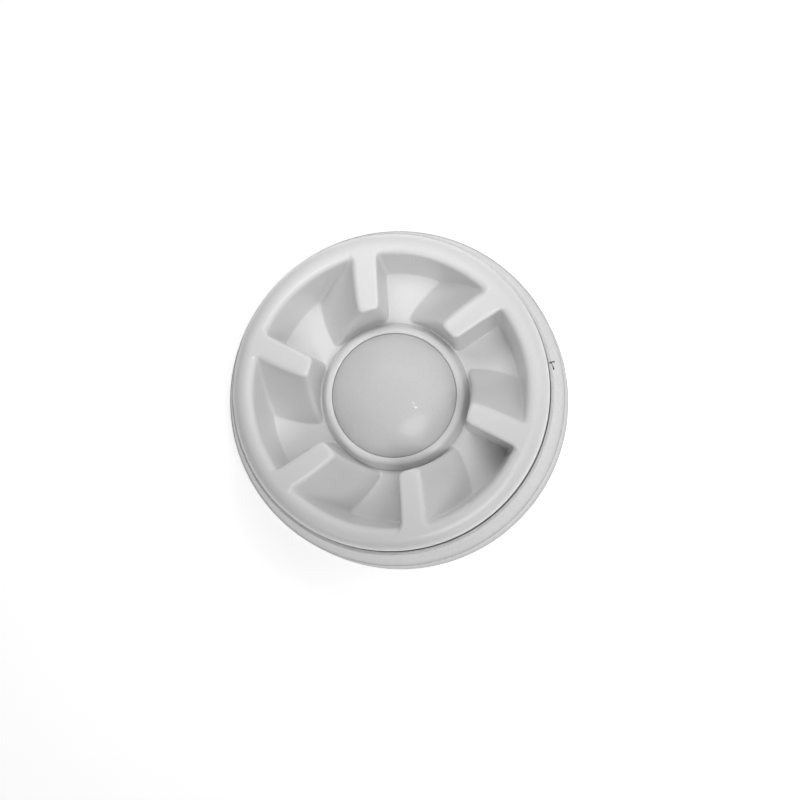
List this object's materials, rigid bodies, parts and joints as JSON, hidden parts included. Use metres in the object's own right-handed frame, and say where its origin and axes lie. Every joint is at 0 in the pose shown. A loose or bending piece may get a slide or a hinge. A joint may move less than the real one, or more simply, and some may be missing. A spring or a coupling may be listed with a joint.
{
  "type": "heat detector",
  "caption": "Round ceiling heat detector: a head with a central sensing dome in a ring of swept air pockets, plugged into a deep mounting base by a quarter-turn bayonet.",
  "frame": {"origin": "centre of the mounting base's flat rear face, on the detector's axis", "axes": "+Z out of the sensing face, away from the ceiling; +Y the way up that the blades of the cover are set out from; the detector stands face up"},
  "size_m": [0.102, 0.102, 0.035],
  "materials": {
    "cover_moulding": "polished white moulding, semi-gloss, finely spark-eroded in the pocket floors",
    "base_moulding": "white moulding, finely spark-eroded, with a polished front corner",
    "dome_moulding": "translucent white moulding, satin",
    "housing_moulding": "off-white moulding, even matt",
    "seal_foam": "closed-cell foam, charcoal, open skinned edges",
    "o_ring_rubber": "black nitrile, matt",
    "contact_metal": "nickel-plated phosphor bronze, stamped and wiped bright",
    "screw_steel": "zinc-plated steel, bright passivated",
    "circuit_board": "glass-epoxy board, green solder resist",
    "chip_plastic": "black epoxy moulding, matt",
    "can_aluminium": "drawn aluminium can, satin",
    "led_plastic": "clear red epoxy lens",
    "reed_glass": "green-tinted glass capsule",
    "thermistor_glass": "black coated bead, smooth",
    "stem_plastic": "natural nylon, matt"
  },
  "bodies": {
    "base": {"mounting_base": "base_moulding", "terminal_1": "contact_metal", "terminal_2": "contact_metal", "terminal_3": "contact_metal", "terminal_4": "contact_metal", "terminal_screen": "contact_metal"},
    "seal": {"draught_seal": "seal_foam"},
    "head": {"front_cover": "cover_moulding", "dome_collar": "cover_moulding", "sensor_dome": "dome_moulding", "dome_o_ring": "o_ring_rubber", "rear_housing": "housing_moulding", "circuit_board": "circuit_board", "thermistor_stem": "stem_plastic", "sensing_thermistor": "thermistor_glass", "reference_thermistor": "thermistor_glass", "thermistor_lead_1": "contact_metal", "thermistor_lead_2": "contact_metal", "microcontroller": "chip_plastic", "bridge_rectifier": "chip_plastic", "voltage_regulator": "chip_plastic", "surge_suppressor": "chip_plastic", "crystal": "can_aluminium", "storage_capacitor": "can_aluminium", "alarm_led": "led_plastic", "reed_switch": "reed_glass", "head_screw_1": "screw_steel", "head_screw_2": "screw_steel", "head_screw_3": "screw_steel", "contact_blade_1": "contact_metal", "contact_blade_2": "contact_metal", "contact_blade_3": "contact_metal", "contact_blade_4": "contact_metal"},
    "clamp_1": {"clamp_plate_1": "screw_steel"},
    "screw_1": {"clamp_screw_1": "screw_steel"},
    "clamp_2": {"clamp_plate_2": "screw_steel"},
    "screw_2": {"clamp_screw_2": "screw_steel"},
    "clamp_3": {"clamp_plate_3": "screw_steel"},
    "screw_3": {"clamp_screw_3": "screw_steel"},
    "clamp_4": {"clamp_plate_4": "screw_steel"},
    "screw_4": {"clamp_screw_4": "screw_steel"},
    "clamp_screen": {"clamp_plate_screen": "screw_steel"},
    "screw_screen": {"clamp_screw_screen": "screw_steel"}
  },
  "joints": [
    {"name": "head_pull", "type": "slide", "parent": "base", "child": "seal", "axis": [0, 0, 1], "range_m": [0, 0.03]},
    {"name": "head_twist", "type": "hinge", "parent": "seal", "child": "head", "pos_m": [0, 0, 0.009], "axis": [0, 0, 1], "range_deg": [-18, 0]},
    {"name": "clamp_lift_1", "type": "slide", "parent": "base", "child": "clamp_1", "axis": [0, 0, 1], "range_m": [0, 0.001]},
    {"name": "screw_turn_1", "type": "hinge", "parent": "clamp_1", "child": "screw_1", "pos_m": [0.02948, 0.01571, 0.006], "axis": [0, 0, 1], "range_deg": [0, 720]},
    {"name": "clamp_lift_2", "type": "slide", "parent": "base", "child": "clamp_2", "axis": [0, 0, 1], "range_m": [0, 0.001]},
    {"name": "screw_turn_2", "type": "hinge", "parent": "clamp_2", "child": "screw_2", "pos_m": [-0.01571, 0.02948, 0.006], "axis": [0, 0, 1], "range_deg": [0, 720]},
    {"name": "clamp_lift_3", "type": "slide", "parent": "base", "child": "clamp_3", "axis": [0, 0, 1], "range_m": [0, 0.001]},
    {"name": "screw_turn_3", "type": "hinge", "parent": "clamp_3", "child": "screw_3", "pos_m": [-0.02948, -0.01571, 0.006], "axis": [0, 0, 1], "range_deg": [0, 720]},
    {"name": "clamp_lift_4", "type": "slide", "parent": "base", "child": "clamp_4", "axis": [0, 0, 1], "range_m": [0, 0.001]},
    {"name": "screw_turn_4", "type": "hinge", "parent": "clamp_4", "child": "screw_4", "pos_m": [0.01571, -0.02948, 0.006], "axis": [0, 0, 1], "range_deg": [0, 720]},
    {"name": "clamp_lift_screen", "type": "slide", "parent": "base", "child": "clamp_screen", "axis": [0, 0, 1], "range_m": [0, 0.001]},
    {"name": "screw_turn_screen", "type": "hinge", "parent": "clamp_screen", "child": "screw_screen", "pos_m": [0.00854, 0.03188, 0.006], "axis": [0, 0, 1], "range_deg": [0, 720]}
  ],
  "couplings": [
    {"joint": "screw_turn_1", "follows": "clamp_lift_1", "rad_per_m": 12566},
    {"joint": "screw_turn_2", "follows": "clamp_lift_2", "rad_per_m": 12566},
    {"joint": "screw_turn_3", "follows": "clamp_lift_3", "rad_per_m": 12566},
    {"joint": "screw_turn_4", "follows": "clamp_lift_4", "rad_per_m": 12566},
    {"joint": "screw_turn_screen", "follows": "clamp_lift_screen", "rad_per_m": 12566}
  ]
}
